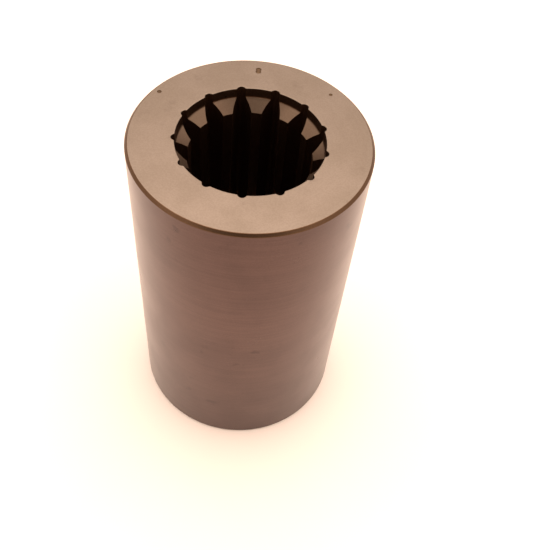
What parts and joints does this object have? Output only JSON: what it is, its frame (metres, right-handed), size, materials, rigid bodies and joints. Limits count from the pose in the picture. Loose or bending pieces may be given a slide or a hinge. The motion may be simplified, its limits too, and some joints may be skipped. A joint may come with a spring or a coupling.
{
  "type": "rigid sleeve coupling",
  "caption": "Plain round steel sleeve with an involute spline bored through it and a stop ring at its middle, joining two splined shafts end to end.",
  "frame": {"origin": "centre of the lower end face, on the bore's axis", "axes": "+Z along the bore towards the end face with the punched dots, +X through the middle of a tooth space"},
  "size_m": [0.037, 0.037, 0.06],
  "materials": {
    "machined_steel": "turned and oiled carbon steel, brownish grey satin",
    "spring_steel": "oil-blackened spring steel"
  },
  "bodies": {
    "root": {"sleeve": "machined_steel", "centre_stop_ring": "spring_steel"}
  },
  "joints": []
}
